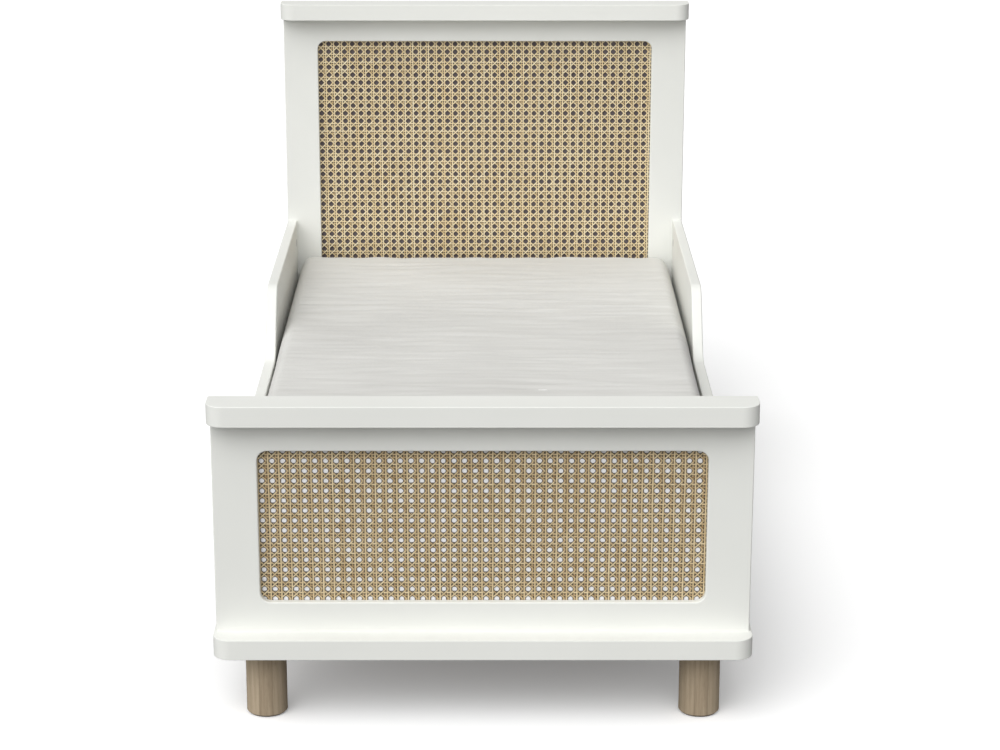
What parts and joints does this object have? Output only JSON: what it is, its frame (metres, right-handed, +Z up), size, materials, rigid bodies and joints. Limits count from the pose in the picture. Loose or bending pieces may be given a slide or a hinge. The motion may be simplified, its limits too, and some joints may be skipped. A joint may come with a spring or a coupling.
{
  "type": "toddler bed",
  "caption": "Low white toddler bed with cane-panelled head and foot, shaped side rails, round wood legs, slatted base and a mattress in a fitted sheet.",
  "frame": {"origin": "on the floor at the middle of the bed's footprint, under the middle of the mattress", "axes": "+X across the bed to the right when it is seen from its foot, +Y from the footboard to the headboard, +Z up"},
  "size_m": [0.77, 1.524, 0.813],
  "materials": {
    "white_paint": "satin white paint on MDF",
    "cane": "natural woven cane webbing",
    "dark_lining": "matte dark lining cloth",
    "leg_wood": "matte oiled oak",
    "slat_wood": "bare planed pine",
    "dowel_wood": "bare beech",
    "steel": "zinc-plated steel",
    "cam_metal": "die-cast zinc",
    "felt": "grey-brown felt",
    "mattress_ticking": "white mattress ticking over foam",
    "sheet_cloth": "pale greige woven cotton-linen sheet"
  },
  "bodies": {
    "frame": {"back_board_screws": "steel", "base_plate_screws": "steel", "cap_dowels": "dowel_wood", "cleat_screws": "steel", "footboard_back_board": "white_paint", "footboard_base_plate": "white_paint", "footboard_cane": "cane", "footboard_cap": "white_paint", "footboard_panel": "white_paint", "headboard_back_board": "white_paint", "headboard_base_plate": "white_paint", "headboard_cane": "cane", "headboard_cane_bead": "slat_wood", "headboard_cap": "white_paint", "headboard_lining": "dark_lining", "headboard_panel": "white_paint", "left_side_rail": "white_paint", "left_slat_cleat": "slat_wood", "leg_felt_pads": "felt", "leg_front_left": "leg_wood", "leg_front_right": "leg_wood", "leg_hanger_bolts": "steel", "leg_rear_left": "leg_wood", "leg_rear_right": "leg_wood", "leg_threaded_inserts": "steel", "rail_cam_bolts": "steel", "rail_cam_locks": "cam_metal", "rail_dowels": "dowel_wood", "right_side_rail": "white_paint", "right_slat_cleat": "slat_wood", "slat_01": "slat_wood", "slat_02": "slat_wood", "slat_03": "slat_wood", "slat_04": "slat_wood", "slat_05": "slat_wood", "slat_06": "slat_wood", "slat_07": "slat_wood", "slat_08": "slat_wood", "slat_09": "slat_wood", "slat_10": "slat_wood", "slat_11": "slat_wood", "slat_12": "slat_wood", "slat_screws": "steel"},
    "mattress": {"mattress": "mattress_ticking", "fitted_sheet": "sheet_cloth"}
  },
  "joints": [
    {"name": "mattress_lift", "type": "slide", "parent": "frame", "child": "mattress", "axis": [0, 0, 1], "range_m": [0, 0.32]}
  ]
}
